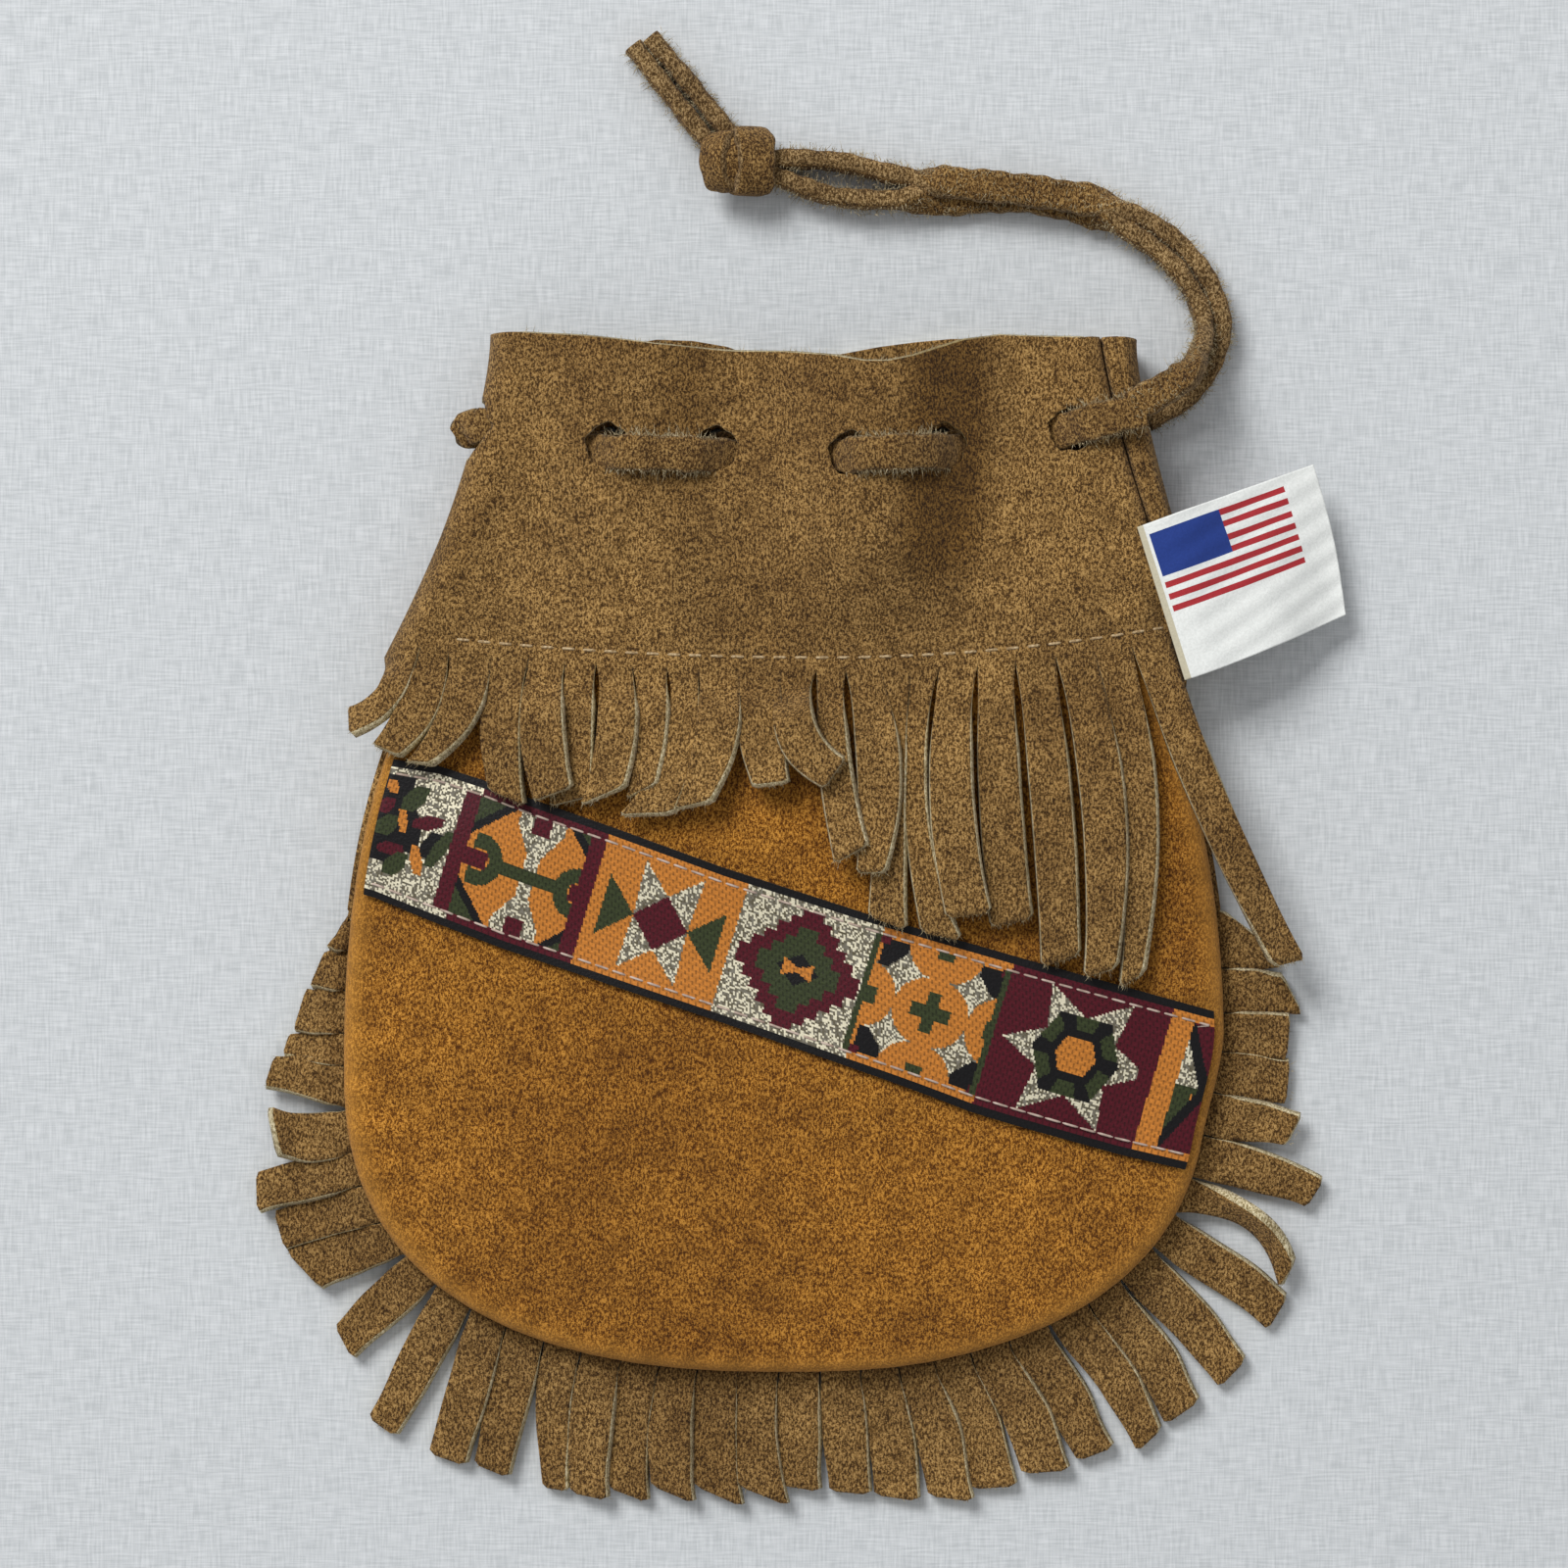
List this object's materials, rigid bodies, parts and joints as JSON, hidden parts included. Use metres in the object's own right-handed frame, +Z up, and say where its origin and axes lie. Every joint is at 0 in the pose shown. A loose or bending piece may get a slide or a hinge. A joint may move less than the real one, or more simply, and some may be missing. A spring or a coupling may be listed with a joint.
{
  "type": "fringed suede pouch",
  "caption": "Soft suede drawstring pouch lying on its back: fringed neck band, golden body with a diagonal woven ribbon, fringed seam and a knotted lace.",
  "frame": {"origin": "on the surface that the pouch lies on, under the widest level of its body, on the body's middle line", "axes": "+X runs across the body to the seam with the label, +Y runs along the body to the mouth, +Z is up, away from the surface"},
  "size_m": [0.1587, 0.2149, 0.0156],
  "materials": {
    "taupe_suede": "napped taupe suede, brushed, with pale cut edges",
    "golden_suede": "napped golden suede",
    "lace_suede": "narrow suede lace with fuzzy pale edges",
    "woven_ribbon": "jacquard ribbon in burgundy, orange, olive and black with metallic thread",
    "label_cloth": "smooth white label cloth, printed with plain fields of colour",
    "cream_thread": "twisted cream sewing thread"
  },
  "bodies": {
    "root": {"yoke_band": "taupe_suede", "front_panel": "golden_suede", "back_panel": "golden_suede", "edge_fringe": "taupe_suede", "woven_ribbon": "woven_ribbon", "seam_label": "label_cloth", "lace_threaded": "lace_suede", "lace_strand_front": "lace_suede", "lace_strand_back": "lace_suede", "lace_knot": "lace_suede", "lace_tail_1": "lace_suede", "lace_tail_2": "lace_suede"}
  },
  "joints": []
}
